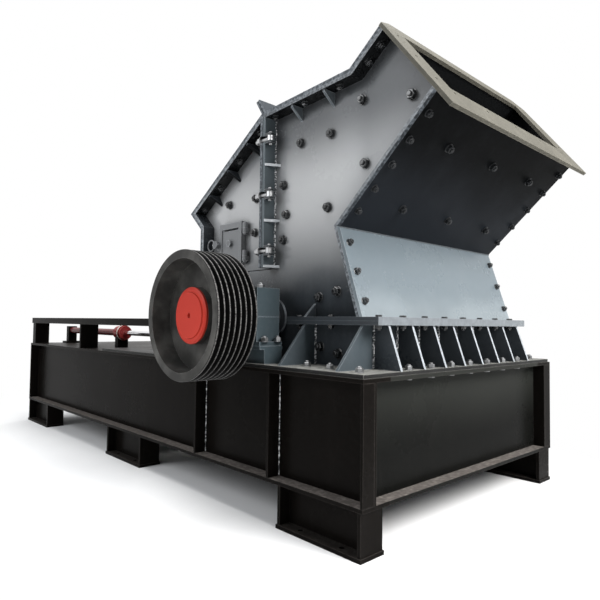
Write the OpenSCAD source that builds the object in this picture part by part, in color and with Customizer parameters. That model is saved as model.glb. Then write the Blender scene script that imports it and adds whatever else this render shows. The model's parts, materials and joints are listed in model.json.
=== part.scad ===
// Hammer crusher on a long steel base: a split plate housing with a slanted feed chute, a hammer rotor
// driven by a V-belt pulley, and a rear housing half that two hydraulic cylinders draw back on guide beams.
// Millimetres, +Z up, feed chute towards +X, pulley towards -Y.
// Lengths along X are measured from the feed end of the base, widths from the middle plane.

/* [Base frame] */
// Length of the base frame
base_length = 4670; // [4400:10:5200]
// How far the base stands out beyond the overhanging plates
base_margin = 210; // [180:5:320]
// Depth of the base box between its flange faces
base_depth = 600; // [450:10:800]
// Thickness of the base flanges
base_flange = 20; // [12:1:30]
// Thickness of the base webs
base_web = 16; // [10:1:25]
// How far the webs stand in from the flange edges
web_recess = 80; // [50:5:110]
// Width of the flanges
flange_width = 200; // [180:5:260]
// Thickness of the stiffener plates on the webs
stiffener = 16; // [10:1:25]

/* [Legs] */
// Height of the legs from the floor to the base
leg_height = 220; // [120:5:400]
// Length of a leg along the base
leg_length = 570; // [450:10:620]
// Width of a leg across the base
leg_width = 156; // [120:2:170]
// Thickness of the leg plates
leg_plate = 20; // [12:1:30]
// How far a foot plate stands out around its leg
foot_margin = 6; // [0:1:15]
// Bore of the anchor holes in the foot plates
anchor_bore = 28; // [18:1:36]
// Gap between the end legs and the ends of the base
leg_inset = 11; // [8:1:60]
// Middle of the middle legs from the feed end
middle_leg_x = -2404; // [-2700:2:-2100]

/* [Body and ledge] */
// Height of the skirt between the base and the ledge
skirt_height = 267; // [220:1:320]
// Thickness of one ledge flange
ledge_flange = 21; // [12:1:30]
// How far the cover plates and the ledge stand out past the side plates
strip_reach = 90; // [80:2:120]
// Thickness of the side plates
side_plate_t = 20; // [12:1:30]
// Thickness of the roof, chute and wall plates
cover_plate_t = 20; // [12:1:30]
// Thickness of the edge strips below the cover plates
edge_strip_t = 18; // [10:1:25]
// Thickness of the skirt walls
skirt_plate_t = 20; // [12:1:30]
// Thickness of ribs and gussets
rib_t = 16; // [10:1:22]
// Number of ribs across the feed end of the skirt
end_ribs = 8; // [4:1:10]
// How far the ledge stands out beyond the front wall foot
ledge_reach = 104; // [80:2:130]
// Place of the middle side gusset of the skirt
mid_gusset_x = -629; // [-680:1:-560]
// Distance from the rear wall to the deck
deck_gap = 140; // [100:5:180]
// Rear end of the bottom flange of the body
body_rear = -2850; // [-3000:10:-2600]

/* [Housing outline] */
// Parting plane between the front and rear housing halves
split_x = -1010; // [-1060:5:-980]
// Gap between the closed parting flanges
split_gap = 6; // [5:1:10]
// Thickness of each parting flange
split_flange_t = 20; // [12:1:30]
// Height of the parting flange foot above the ledge
split_foot_h = 303; // [260:1:340]
// Height of the roof above the ledge at the parting plane
roof_h = 1277; // [1150:1:1290]
// Place of the kink between roof and chute back
kink_x = -292; // [-320:2:-270]
// Height of the kink above the ledge
kink_h = 1312; // [1290:1:1340]
// Place of the upper end of the chute back
peak_x = -95; // [-120:1:-80]
// Height of the upper end of the chute back above the ledge
peak_h = 1464; // [1430:1:1490]
// Place of the lower end of the chute underside
lip_x = 241; // [220:1:260]
// Height of the lower end of the chute underside above the ledge
lip_h = 1027; // [1000:1:1050]
// Place of the heel between the chute underside and the front wall
heel_x = -350; // [-390:5:-320]
// Height of the heel above the ledge
heel_h = 477; // [430:1:530]
// Foot of the front wall
front_foot_x = -189; // [-210:1:-170]
// Place of the tip of the rear roof slope
tip_x = -1832; // [-1880:2:-1800]
// Height of the tip of the rear roof slope above the ledge
tip_h = 748; // [720:1:790]
// Place of the rear wall
rear_wall_x = -1695; // [-1740:5:-1660]
// Height above the ledge where the rear wall meets the return below the slope tip
return_h = 621; // [590:1:640]
// Height of the gussets below the overhanging strips
roof_gusset = 80; // [50:5:85]
// Distance along the front roof from the parting plane to its first gusset
front_gusset_first = 247; // [200:1:300]
// Distance between the front roof gussets
front_gusset_pitch = 264; // [200:1:280]
// Distance along the rear roof from the parting plane to its first gusset
rear_gusset_first = 212; // [180:1:240]
// Distance between the rear roof gussets
rear_gusset_pitch = 250; // [200:1:270]
// Height of the upstands across the roof at the parting plane
upstand_h = 103; // [80:1:120]
// Thickness of each upstand
upstand_t = 13; // [10:1:16]

/* [Feed flange] */
// Thickness of the feed flange
feed_flange_t = 20; // [12:1:30]
// Width of the feed opening
feed_width = 1270; // [1100:10:1340]
// How far the feed flange runs down past the chute underside
feed_low = 110; // [60:5:130]
// How far the feed flange runs up past the chute back
feed_high = 64; // [50:2:90]
// Length of the feed opening along the slope
feed_opening = 450; // [400:5:455]
// Lower edge of the feed opening above the flange edge
feed_margin = 185; // [160:5:200]
// Corner cut at the top of the feed flange, along the slope
feed_corner = 60; // [20:2:62]
// Corner cut at the top of the feed flange, across it
feed_corner_y = 110; // [20:5:150]
// Bore of the bolt holes in the feed flange
feed_bore = 18; // [12:1:26]

/* [Clamps] */
// Number of swing-bolt clamps on each parting flange
clamps = 3; // [2:1:4]
// Height of the lowest clamp above the flange foot
clamp_first = 103; // [80:1:130]
// Distance from the highest clamp to the top of the flange
clamp_last = 135; // [100:1:180]
// Reach of the gussets beside the clamps
clamp_gusset = 48; // [40:1:80]
// Diameter of the swing bolts
clamp_bolt = 30; // [20:1:36]
// Clearance around a swing bolt in its slot
clamp_clear = 6; // [5:1:10]

/* [Rotor] */
// Place of the rotor axis
shaft_x = -980; // [-1000:5:-940]
// Height of the rotor axis above the ledge top
shaft_rise = -3; // [-20:1:30]
// Diameter of the shaft in its bearings
shaft_d = 140; // [100:5:160]
// Diameter of the shaft between the rotor discs
core_d = 220; // [180:5:260]
// Number of rotor discs
discs = 5; // [3:1:6]
// Diameter of the rotor discs
disc_d = 800; // [700:10:860]
// Thickness of the rotor discs
disc_t = 60; // [40:5:80]
// Length of the rotor body
rotor_length = 1240; // [1000:10:1500]
// Gap between the rotor ends and the side plates
rotor_end_gap = 70; // [40:5:90]
// Number of hammer rows
hammer_rows = 4; // [3:1:6]
// Radius of the hammer pins
pin_ring = 320; // [280:5:340]
// Diameter of the hammer pins
pin_d = 50; // [36:2:60]
// Reach of the hammers from the rotor axis
hammer_reach = 540; // [480:5:560]
// Thickness of the hammers
hammer_t = 150; // [90:5:180]
// Width of the hammer head
hammer_w = 180; // [120:5:200]

/* [Pulley] */
// Outer diameter of the pulley
pulley_d = 715; // [560:5:760]
// Width of the pulley
pulley_w = 250; // [220:2:270]
// Number of V-grooves
grooves = 7; // [5:1:8]
// Depth of a V-groove
groove_depth = 26; // [18:1:30]
// Width of a land between grooves
groove_land = 6; // [4:1:9]
// Radial thickness of the rim below the outside
rim_t = 48; // [42:1:70]
// Thickness of the pulley web
pulley_web_t = 40; // [30:2:60]
// Diameter of the pulley hub and its red cap
hub_d = 320; // [260:5:360]
// How far the cap lies inside the front rim face
cap_recess = 54; // [20:2:60]
// Thickness of the cap
cap_t = 24; // [12:1:40]
// Gap between the pulley and the base edge
pulley_gap = 116; // [80:2:140]

/* [Bearings] */
// Length of a bearing block along the base
bearing_length = 392; // [340:2:420]
// Width of a bearing block across the base
bearing_width = 166; // [120:2:170]
// Height of the bearing block below and above its axis
bearing_half = 165; // [140:5:180]
// How far the foot of a bearing block stands out at each end
bearing_foot = 26; // [20:1:40]
// Thickness of the foot of a bearing block
bearing_foot_t = 24; // [16:1:40]
// How far the pedestal stands out beyond the bearing foot
pedestal_margin = 4; // [2:1:20]
// Running clearance of the shaft in bores
shaft_clear = 0.2; // [0.1:0.1:0.3]
// Diameter of the round seal cover on the side plates
seal_d = 236; // [200:2:260]
// Thickness of the round seal cover
seal_t = 16; // [10:1:24]
// How far the ledge stops short of the seal cover
bay_gap = 102; // [90:1:120]

/* [Guides and cylinders] */
// Width of a guide beam
guide_width = 160; // [120:5:170]
// Height of a guide beam
guide_height = 56; // [46:1:80]
// How far the guide beams lie below the ledge top
guide_drop = 18; // [14:1:24]
// Joint plate of the guide beams behind the rear edge of the body flange
joint_back = 472; // [420:4:520]
// Thickness of the joint plate
joint_t = 24; // [16:1:40]
// Wall of a guide beam
guide_wall = 12; // [8:1:16]
// Travel of the rear housing half
travel = 950; // [800:10:1000]
// Length of a slide shoe
shoe_length = 300; // [240:10:310]
// Thickness of the wear pads below the shoes
shoe_pad = 10; // [8:1:14]
// Running clearance of the shoes on the guide beams
shoe_clear = 0.3; // [0.2:0.1:0.4]
// Middle of a cylinder from the middle plane
cylinder_y = 625; // [580:5:640]
// Height of the cylinder axis above the base
cylinder_rise = 138; // [120:1:160]
// Outer diameter of the cylinder barrel
barrel_d = 64; // [62:1:80]
// Diameter of the piston rod
rod_d = 45; // [36:1:46]
// Wall of the cylinder barrel
barrel_wall = 8; // [6:1:8]
// Running clearance of the rod in the head
rod_clear = 0.3; // [0.2:0.1:0.4]
// Distance from the rear end of the base to the barrel
cylinder_inset = 150; // [110:5:200]
// How much longer the barrel is than the travel
barrel_spare = 215; // [150:5:240]
// Diameter of the cylinder head
head_d = 124; // [100:2:130]
// Length of the cylinder head
head_length = 143; // [120:1:170]

/* [Inspection door] */
// Width of the inspection door
door_width = 250; // [200:5:260]
// Height of the inspection door
door_height = 281; // [240:1:290]
// Thickness of the door plate
door_t = 14; // [8:1:20]
// Gap between the door and its frame
door_gap = 5; // [5:1:8]
// Width of the frame around the door opening
door_frame_w = 30; // [20:2:40]
// Thickness of the door frame
door_frame_t = 14; // [10:1:20]
// Room for the latch between the rear edge strip and the door
latch_room = 126; // [115:1:170]
// Lower edge of the door above the ledge
door_h = 355; // [335:1:370]
// Outer diameter of the hinge knuckles
knuckle_d = 36; // [28:2:40]
// Diameter of the hinge pin
hinge_pin_d = 16; // [12:1:20]

/* [Hidden] */
$fn = 64;
cut = 1;
z_base = leg_height;
z_deck = leg_height + base_depth;
z_body = z_deck + base_flange;
z_ledge = z_deck + skirt_height;
z_top = z_ledge + ledge_flange;
z_guide = z_top - guide_drop;
z_shaft = z_top + shaft_rise;
y_in = rotor_length / 2 + rotor_end_gap;
y_side = y_in + side_plate_t;
y_plate = y_side + strip_reach;
y_edge = y_plate + base_margin;
split_foot_z = z_top + split_foot_h;
roof_z = z_top + roof_h;
kink = [kink_x, z_top + kink_h];
chute_peak = [peak_x, z_top + peak_h];
chute_lip = [lip_x, z_top + lip_h];
heel = [heel_x, z_top + heel_h];
rear_tip = [tip_x, z_top + tip_h];
return_z = z_top + return_h;
door_z = z_top + door_h;
barrel_length = travel + barrel_spare;
barrel_rear = -base_length + cylinder_inset;
joint_x = body_rear - joint_back;
leg_places = [-leg_inset - leg_length / 2, middle_leg_x, -base_length + leg_inset + leg_length / 2];
pulley_front = -y_edge - pulley_gap - pulley_w;
pulley_rear = -y_edge - pulley_gap;
far_end = y_edge + foot_margin;
flange_dir = (chute_peak - chute_lip) / norm(chute_peak - chute_lip);
flange_normal = [flange_dir[1], -flange_dir[0]];
flange_tip = chute_lip - feed_low * flange_dir + feed_flange_t * flange_normal;
x_max = flange_tip[0];
x_min = -base_length;
shift = [-(x_max + x_min) / 2, -(far_end + pulley_front) / 2, 0];

// Corner where two lines, each a point and a direction, meet
function cross2(a, b) = a[0] * b[1] - a[1] * b[0];
function meet(p, u, q, v) = p + u * (cross2(q - p, v) / cross2(u, v));
// Outline moved inwards by its own distance on each edge (outline runs clockwise)
function edge_dir(p, i) = (p[(i + 1) % len(p)] - p[i]) / norm(p[(i + 1) % len(p)] - p[i]);
function inward(u) = [u[1], -u[0]];
function inset(p, d) = [
    for (i = [0 : len(p) - 1])
        let (h = (i + len(p) - 1) % len(p), u = edge_dir(p, h), v = edge_dir(p, i))
            meet(p[h] + d[h] * inward(u), u, p[i] + d[i] * inward(v), v)
];
function band(a, b, i) = [a[i], a[(i + 1) % len(a)], b[(i + 1) % len(a)], b[i]];
// Height on a line at a place along X
function height_at(p, q, x) = p[1] + (q[1] - p[1]) * (x - p[0]) / (q[0] - p[0]);
function on_line(p, q, x) = [x, height_at(p, q, x)];

front_x = split_x + split_gap / 2;
rear_x = split_x - split_gap / 2;
cover_in = cover_plate_t;
strip_in = cover_plate_t + edge_strip_t;
front_out = [
    [front_x, roof_z], kink, chute_peak, chute_lip, heel, [front_foot_x, z_top], [front_x, z_top]
];
front_in = inset(front_out, [cover_in, cover_in, 0, cover_in, cover_in, 0, 0]);
front_strip = inset(front_out, [strip_in, strip_in, 0, strip_in, strip_in, 0, 0]);
z_rear = z_top + shoe_pad - edge_strip_t;
rear_out = [
    [rear_x, z_rear], [rear_wall_x, z_rear], [rear_wall_x, return_z], rear_tip, [rear_x, roof_z]
];
rear_in = inset(rear_out, [0, cover_in, cover_in, cover_in, 0]);
rear_strip = inset(rear_out, [0, strip_in, strip_in, strip_in, 0]);

module place() {
    translate(shift) children();
}

// A piece on the pulley side and its mirror image on the far side
module both() {
    children();
    mirror([0, 1, 0]) children();
}

// Box between two limits on each axis
module block(x, y, z) {
    translate([x[0], y[0], z[0]]) cube([x[1] - x[0], y[1] - y[0], z[1] - z[0]]);
}

// Plate whose outline lies in the X-Z plane
module upright(points, y) {
    translate([0, y[1], 0]) rotate([90, 0, 0]) linear_extrude(y[1] - y[0]) polygon(points);
}

// Plate whose outline lies in the Y-Z plane, from a place along X
module crosswise(x, t, points) {
    translate([x, 0, 0]) rotate([90, 0, 90]) linear_extrude(t) polygon(points);
}

// Cylinder along Y, from one place to the other
module along_y(x, z, y, d) {
    translate([x, y[1], z]) rotate([90, 0, 0]) cylinder(h = y[1] - y[0], d = d);
}

// Cylinder along X, from one place to the other
module along_x(x, y, z, d) {
    translate([x[0], y, z]) rotate([0, 90, 0]) cylinder(h = x[1] - x[0], d = d);
}

web_out = y_edge - web_recess;
web_in = web_out - base_web;
flange_in = y_edge - flange_width;
z_web = [z_base + base_flange, z_deck - base_flange];

module base_beams() color([0.12, 0.11, 0.11]) place() both() {
    block([-base_length, 0], [-web_out, -web_in], z_web);
    for (z = [z_base, z_deck - base_flange])
        block([-base_length, 0], [-y_edge, -flange_in], [z, z + base_flange]);
}

end_recess = 75;

module base_end_walls() color([0.12, 0.11, 0.11]) place() {
    for (m = [0, 1]) translate([-m * base_length, 0, 0]) mirror([m, 0, 0]) {
        block([-end_recess - base_web, -end_recess], [-web_in, web_in], z_web);
        for (z = [z_base, z_deck - base_flange])
            block([-flange_width, 0], [-flange_in, flange_in], [z, z + base_flange]);
    }
}

pedestal_length = bearing_length + 2 * bearing_foot + 2 * pedestal_margin;
stiffener_lag = 51;
stiffener_back = 194;
stiffener_places = [
    -stiffener, -base_length, mid_gusset_x - stiffener_lag, shaft_x - pedestal_length / 2 - stiffener_back
];

module base_stiffeners() color([0.12, 0.11, 0.11]) place() both() {
    for (x = stiffener_places)
        block([x, x + stiffener], [-y_edge, -web_out], z_web);
}

member_w = 120;
member_h = 200;
member_t = 14;
deck_front = rear_wall_x - deck_gap + member_w / 2;
head_x = [barrel_rear + barrel_length, barrel_rear + barrel_length + head_length];
member_places = [rear_wall_x - deck_gap, leg_places[1], head_x[1] - member_w, leg_places[2]];

module cross_members() color([0.12, 0.11, 0.11]) place() {
    for (x = member_places) translate([x, 0, 0]) {
        block([-member_t / 2, member_t / 2], [-web_in, web_in],
            [z_web[1] - member_h + member_t, z_web[1] - member_t]);
        for (z = [z_web[1] - member_h, z_web[1] - member_t])
            block([-member_w / 2, member_w / 2], [-web_in, web_in], [z, z + member_t]);
    }
}

module deck_plate() color([0.16, 0.16, 0.16]) place()
    block([-base_length + flange_width, deck_front], [-flange_in, flange_in], [z_web[1], z_deck]);

leg_y = [-y_edge, -y_edge + leg_width];
leg_mid = -y_edge + leg_width / 2;
leg_end_x = leg_length / 2 - leg_plate;

module legs() color([0.12, 0.11, 0.11]) place() both() {
    for (x = leg_places) translate([x, leg_mid, 0])
        block([-leg_end_x, leg_end_x], [-leg_plate / 2, leg_plate / 2], [leg_plate, z_base]);
}

module leg_ends() color([0.12, 0.11, 0.11]) place() both() {
    for (x = leg_places) for (e = [-leg_length / 2, leg_end_x])
        block([x + e, x + e + leg_plate], leg_y, [leg_plate, z_base]);
}

anchor_y = -y_edge + (leg_width - leg_plate) / 4;

module foot_plates() color([0.12, 0.11, 0.11]) place() both() {
    for (x = leg_places) translate([x, 0, 0]) difference() {
        block([-leg_length / 2 - foot_margin, leg_length / 2 + foot_margin],
            [leg_y[0] - foot_margin, leg_y[1] + foot_margin], [0, leg_plate]);
        for (e = [-leg_length / 4, leg_length / 4])
            translate([e, anchor_y, -cut]) cylinder(h = leg_plate + 2 * cut, d = anchor_bore);
    }
}

body_edge = 10;
skirt_in = [rear_wall_x + skirt_plate_t, front_foot_x - skirt_plate_t];

module body_flange() color([0.13, 0.13, 0.14]) place() difference() {
    block([body_rear, -body_edge], [-y_edge + body_edge, y_edge - body_edge], [z_deck, z_body]);
    block(skirt_in, [-y_in, y_in], [z_deck - cut, z_body + cut]);
    block([body_rear - cut, rear_wall_x - deck_gap], [-flange_in, flange_in], [z_deck - cut, z_body + cut]);
}

z_skirt = [z_body, z_ledge - ledge_flange];
shaft_room = 15;
shaft_hole = shaft_d + 2 * shaft_room;

module shaft_holes() {
    along_y(shaft_x, z_shaft, [-y_edge, y_edge], shaft_hole);
}

module skirt_walls() color([0.2, 0.22, 0.24]) place() difference() {
    union() {
        both() block([rear_wall_x, front_foot_x], [-y_side, -y_in], z_skirt);
        for (x = [rear_wall_x, front_foot_x - skirt_plate_t])
            block([x, x + skirt_plate_t], [-y_in, y_in], z_skirt);
    }
    shaft_holes();
}

rib_toe = 20;
ledge_end = front_foot_x + ledge_reach;
ledge_room = 10;

module skirt_ribs() color([0.2, 0.22, 0.24]) place() {
    for (i = [0 : end_ribs - 1])
        let (y = -y_side + rib_t / 2 + i * (2 * y_side - rib_t) / (end_ribs - 1))
            upright([[front_foot_x, z_skirt[0]], [-body_edge - rib_toe / 4, z_skirt[0]],
                [ledge_end - ledge_room, z_skirt[1]], [front_foot_x, z_skirt[1]]], [y - rib_t / 2, y + rib_t / 2]);
}

gusset_places = [front_foot_x - rib_t, mid_gusset_x, rear_wall_x];

// Slanted gussets across the base, from the side walls out to the flange edges
module skirt_gussets() color([0.2, 0.22, 0.24]) place() both() {
    for (x = gusset_places)
        crosswise(x, rib_t, [[-y_side, z_skirt[0]], [-y_side, z_skirt[1]], [-y_plate + ledge_room, z_skirt[1]],
            [-y_edge + body_edge + rib_toe, z_skirt[0]]]);
}

bay_half = seal_d / 2 + bay_gap;
shaft_bay = [shaft_x - bay_half, shaft_x + bay_half];

// Flange ring around the housing, cut away beside the shaft
module ledge_ring(x, z, open_rear) difference() {
    block(x, [-y_plate, y_plate], z);
    block([open_rear ? x[0] - cut : skirt_in[0], skirt_in[1]], [-y_in, y_in], [z[0] - cut, z[1] + cut]);
    both() block(shaft_bay, [-y_plate - cut, -y_side], [z[0] - cut, z[1] + cut]);
    shaft_holes();
}

ledge_tail = 60;
ledge_rear = rear_wall_x - ledge_tail;
ext_reach = 152;
ext_x = shaft_x - seal_d / 2 - ext_reach;
ext_z = split_foot_z - split_gap;

module skirt_ledge() color([0.2, 0.22, 0.24]) place()
    ledge_ring([ledge_rear, ledge_end], [z_ledge - ledge_flange, z_ledge], false);

module front_ledge() color([0.2, 0.22, 0.24]) place()
    ledge_ring([ext_x, ledge_end], [z_ledge, z_top], true);

module front_side_plates() color([0.25, 0.28, 0.31]) place() both() {
    difference() {
        union() {
            upright(front_in, [-y_side, -y_in]);
            block([ext_x, front_x + cut], [-y_side, -y_in], [z_top, ext_z]);
        }
        shaft_holes();
    }
    for (i = [0, 1, 3, 4]) upright(band(front_in, front_strip, i), [-y_plate, -y_side]);
}

module cover(out, in, i) {
    upright(band(out, in, i), [-y_plate, y_plate]);
}

// Upstands stand square on the rear roof slope
rear_slope = ([rear_x, roof_z] - rear_tip) / norm([rear_x, roof_z] - rear_tip);
upstand_dir = [-rear_slope[1], rear_slope[0]];

module upstand(foot, along) {
    top = foot + upstand_h * upstand_dir;
    base = meet(top + along * upstand_t, upstand_dir, foot, edge_dir(along[0] > 0 ? front_out : rear_out,
        along[0] > 0 ? 0 : 3));
    upright(along[0] > 0 ? [foot, top, top + along * upstand_t, base] : [base, top + along * upstand_t, top, foot],
        [-y_plate, y_plate]);
}

module front_roof() color([0.25, 0.28, 0.31]) place() {
    cover(front_out, front_in, 0);
    upstand([front_x, roof_z], rear_slope);
}

module chute_back() color([0.25, 0.28, 0.31]) place() cover(front_out, front_in, 1);

module chute_underside() color([0.16, 0.17, 0.19]) place() cover(front_out, front_in, 3);

module front_wall() color([0.4, 0.45, 0.5]) place() cover(front_out, front_in, 4);

gusset_nose = 12;
gusset_room = 8;

// Triangular gusset square under a strip that runs from p to q, at a distance from p
module strip_gusset(p, q, far) {
    translate([p[0], 0, p[1]]) rotate([0, -atan2(q[1] - p[1], q[0] - p[0]), 0])
        crosswise(far, rib_t, [[-y_side, -roof_gusset], [-y_side, 0], [-y_plate + gusset_room, 0],
            [-y_plate + gusset_room, -gusset_nose]]);
}

// Flat triangle between a parting flange and the side plate
module flange_gusset(z) {
    translate([front_flange[1], 0, z]) linear_extrude(rib_t)
        polygon([[0, -y_plate], [0, -y_side], [clamp_gusset, -y_side]]);
}

ledge_gusset_h = 75;

module front_gussets() color([0.25, 0.28, 0.31]) place() both() {
    for (k = [0, 1]) strip_gusset(front_strip[0], front_strip[1], front_gusset_first + k * front_gusset_pitch);
    flange_gusset(split_foot_z);
    for (k = [0 : clamps - 2]) flange_gusset(clamp_z(k) + clamp_pitch * 0.52);
    crosswise(mid_gusset_x, rib_t, [[-y_side, z_top], [-y_side, z_top + ledge_gusset_h],
        [-y_plate + ledge_room, z_top]]);
}

feed_hole_in = 40;
feed_total = feed_low + norm(chute_peak - chute_lip) + feed_high;
feed_foot = chute_lip - feed_low * flange_dir;

module feed_flange() color([0.55, 0.52, 0.46]) place()
    translate([feed_foot[0], 0, feed_foot[1]]) rotate([0, -atan2(flange_dir[1], flange_dir[0]), 0])
        translate([0, 0, -feed_flange_t]) linear_extrude(feed_flange_t) difference() {
            polygon([[0, -y_plate], [0, y_plate], [feed_total - feed_corner, y_plate],
                [feed_total, y_plate - feed_corner_y], [feed_total, -y_plate + feed_corner_y],
                [feed_total - feed_corner, -y_plate]]);
            translate([feed_margin, -feed_width / 2]) square([feed_opening, feed_width]);
            for (k = [-2 : 2])
                translate([feed_margin - feed_hole_in, k * feed_width / 4]) circle(d = feed_bore);
            for (k = [0 : 2]) for (m = [-1, 1])
                translate([feed_margin + feed_hole_in + k * (feed_opening / 2 - feed_hole_in),
                    m * (feed_width / 2 + y_plate) / 2]) circle(d = feed_bore);
        }

front_flange = [front_x, front_x + split_flange_t];
rear_flange = [rear_x - split_flange_t, rear_x];
flange_rise = height_at(front_strip[0], front_strip[1], front_flange[0]) - split_foot_z;
clamp_pitch = (flange_rise - clamp_first - clamp_last) / (clamps - 1);
function clamp_z(k) = split_foot_z + clamp_first + k * clamp_pitch;
clamp_y = -(y_plate + y_side) / 2 - strip_reach / 4;
slot_w = clamp_bolt + 2 * clamp_clear;

module clamp_slots(x) {
    for (k = [0 : clamps - 1])
        block([x[0] - cut, x[1] + cut], [-y_plate - cut, clamp_y + slot_w / 2],
            [clamp_z(k) - slot_w / 2, clamp_z(k) + slot_w / 2]);
}

module front_split_flange() color([0.3, 0.33, 0.36]) place() both() difference() {
    upright([[front_flange[0], split_foot_z], [front_flange[1], split_foot_z],
        on_line(front_strip[0], front_strip[1], front_flange[1]),
        on_line(front_strip[0], front_strip[1], front_flange[0])], [-y_plate, -y_side]);
    clamp_slots(front_flange);
}

lug_t = 14;
lug_half = 24;
lug_gap = clamp_bolt + 4;
lug_pin_d = 20;
lug_pin_out = 10;
pin_x = front_flange[1] + lug_half + 4;

module clamp_lugs() color([0.3, 0.33, 0.36]) place() both() {
    for (k = [0 : clamps - 1]) translate([0, clamp_y, clamp_z(k)]) for (m = [0, 1]) mirror([0, 0, m])
        difference() {
            block([front_flange[1], pin_x + lug_half], [-lug_half, lug_half], [lug_gap / 2, lug_gap / 2 + lug_t]);
            translate([pin_x, 0, 0]) cylinder(h = lug_gap + lug_t, d = lug_pin_d + 2 * shaft_clear);
        }
}

nut_h = 26;
washer_t = 6;
bolt_tail = 24;
eye_d = clamp_bolt + 14;

module swing_bolts() color([0.3, 0.33, 0.36]) place() both() {
    for (k = [0 : clamps - 1]) translate([0, clamp_y, clamp_z(k)]) {
        translate([pin_x, 0, -lug_gap / 2]) cylinder(h = lug_gap, d = eye_d);
        along_x([rear_flange[0] - nut_h - washer_t - bolt_tail, pin_x], 0, 0, clamp_bolt);
        for (m = [0, 1]) mirror([0, 0, m]) translate([pin_x, 0, lug_gap / 2])
            cylinder(h = lug_t + lug_pin_out, d = lug_pin_d);
    }
}

washer_d = clamp_bolt * 2.1;
nut_d = clamp_bolt * 1.75;
nut_clear = 1;

module clamp_nuts() color([0.3, 0.33, 0.36]) place() both() {
    for (k = [0 : clamps - 1]) translate([rear_flange[0], clamp_y, clamp_z(k)]) rotate([0, -90, 0])
        difference() {
            union() {
                cylinder(h = washer_t, d = washer_d);
                translate([0, 0, washer_t]) cylinder(h = nut_h, d = nut_d, $fn = 6);
            }
            translate([0, 0, -cut]) cylinder(h = nut_h + washer_t + 2 * cut, d = clamp_bolt + 2 * nut_clear);
        }
}

seal_room = 6;

module seal_covers() color([0.3, 0.33, 0.36]) place() both() difference() {
    along_y(shaft_x, z_shaft, [-y_side - seal_t, -y_side], seal_d);
    along_y(shaft_x, z_shaft, [-y_side - seal_t - cut, -y_side + cut], shaft_d + 2 * seal_room);
}

z_seat = z_shaft - bearing_half;
bearing_y = -(web_out + web_in) / 2;
bearing_face = [bearing_y - bearing_width / 2, bearing_y + bearing_width / 2];
pedestal_top_t = 20;
pedestal_rib = [bearing_y - bearing_width / 5, bearing_face[1] - pedestal_margin];

module bearing_pedestals() color([0.25, 0.28, 0.31]) place() both() translate([shaft_x, 0, 0]) {
    block([-pedestal_length / 2, pedestal_length / 2], bearing_face, [z_seat - pedestal_top_t, z_seat]);
    for (x = [-pedestal_length / 2, -rib_t / 2, pedestal_length / 2 - rib_t])
        block([x, x + rib_t], pedestal_rib, [z_body, z_seat - pedestal_top_t]);
    block([-pedestal_length / 2, pedestal_length / 2], [pedestal_rib[0] - rib_t, pedestal_rib[0]],
        [z_body, z_seat - pedestal_top_t]);
}

end_cover_margin = 55;
end_cover_d = shaft_d + 2 * end_cover_margin;
end_cover_t = 16;
joint_line = 4;

module bearing_blocks() color([0.28, 0.31, 0.34]) place() both() translate([shaft_x, 0, 0]) difference() {
    union() {
        block([-bearing_length / 2, bearing_length / 2], bearing_face, [z_seat, z_shaft + bearing_half]);
        block([-bearing_length / 2 - bearing_foot, bearing_length / 2 + bearing_foot], bearing_face,
            [z_seat, z_seat + bearing_foot_t]);
        along_y(0, z_shaft, [bearing_face[0] - end_cover_t, bearing_face[1] + end_cover_t], end_cover_d);
    }
    along_y(0, z_shaft, [bearing_face[0] - end_cover_t - cut, -y_side], shaft_d + 2 * shaft_clear);
    for (m = [-1, 1]) translate([m * bearing_length / 2, 0, z_shaft])
        block([-joint_line, joint_line], [-y_edge, -y_side], [-joint_line / 2, joint_line / 2]);
}

guide_ahead = 80;
guide_inset = 20;
guide_front = shaft_x - pedestal_length / 2 - guide_ahead;
guide_rear = -base_length + guide_inset;
guide_y = [-y_edge, -y_edge + guide_width];

module guide_beams() color([0.14, 0.13, 0.13]) place() both() {
    for (x = [[guide_rear, joint_x], [joint_x + joint_t, guide_front]]) difference() {
        block(x, guide_y, [z_guide - guide_height, z_guide]);
        block([x[0] - cut, x[1] + cut], [guide_y[0] + guide_wall, guide_y[1] - guide_wall],
            [z_guide - guide_height - cut, z_guide - guide_wall]);
    }
}

post_depth = 80;
post_room = 5;
post_y = [-y_edge + body_edge, guide_y[1] - body_edge];
post_places = [[guide_rear + post_room, z_deck], [guide_front - post_depth - post_room, z_body]];

module guide_posts() color([0.14, 0.13, 0.13]) place() both() {
    for (p = post_places) difference() {
        block([p[0], p[0] + post_depth], post_y, [p[1], z_guide - guide_height]);
        block([p[0] - cut, p[0] + post_depth - guide_wall], [post_y[0] + guide_wall, post_y[1] - guide_wall],
            [p[1] - cut, z_guide - guide_height + cut]);
    }
    block([joint_x, joint_x + joint_t], guide_y, [z_deck, z_guide]);
}

z_cyl = z_deck + cylinder_rise;
barrel_bore = barrel_d - 2 * barrel_wall;
barrel_bottom = 30;
port_d = 36;
port_h = 30;

module cylinder_barrels() color([0.35, 0.08, 0.07]) place() both() difference() {
    along_x([barrel_rear, head_x[0]], -cylinder_y, z_cyl, barrel_d);
    along_x([barrel_rear + barrel_bottom, head_x[0] + cut], -cylinder_y, z_cyl, barrel_bore);
}

collar_t = 26;
collar_d = head_d + 16;

module cylinder_heads() color([0.6, 0.15, 0.12]) place() both() difference() {
    union() {
        along_x(head_x, -cylinder_y, z_cyl, head_d);
        along_x([head_x[1] - 2 * collar_t, head_x[1] - collar_t], -cylinder_y, z_cyl, collar_d);
        translate([head_x[0] + head_length * 0.4, -cylinder_y, z_cyl]) cylinder(h = head_d / 2 + port_h, d = port_d);
    }
    along_x([head_x[0] - cut, head_x[1] + cut], -cylinder_y, z_cyl, rod_d + 2 * rod_clear);
}

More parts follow.
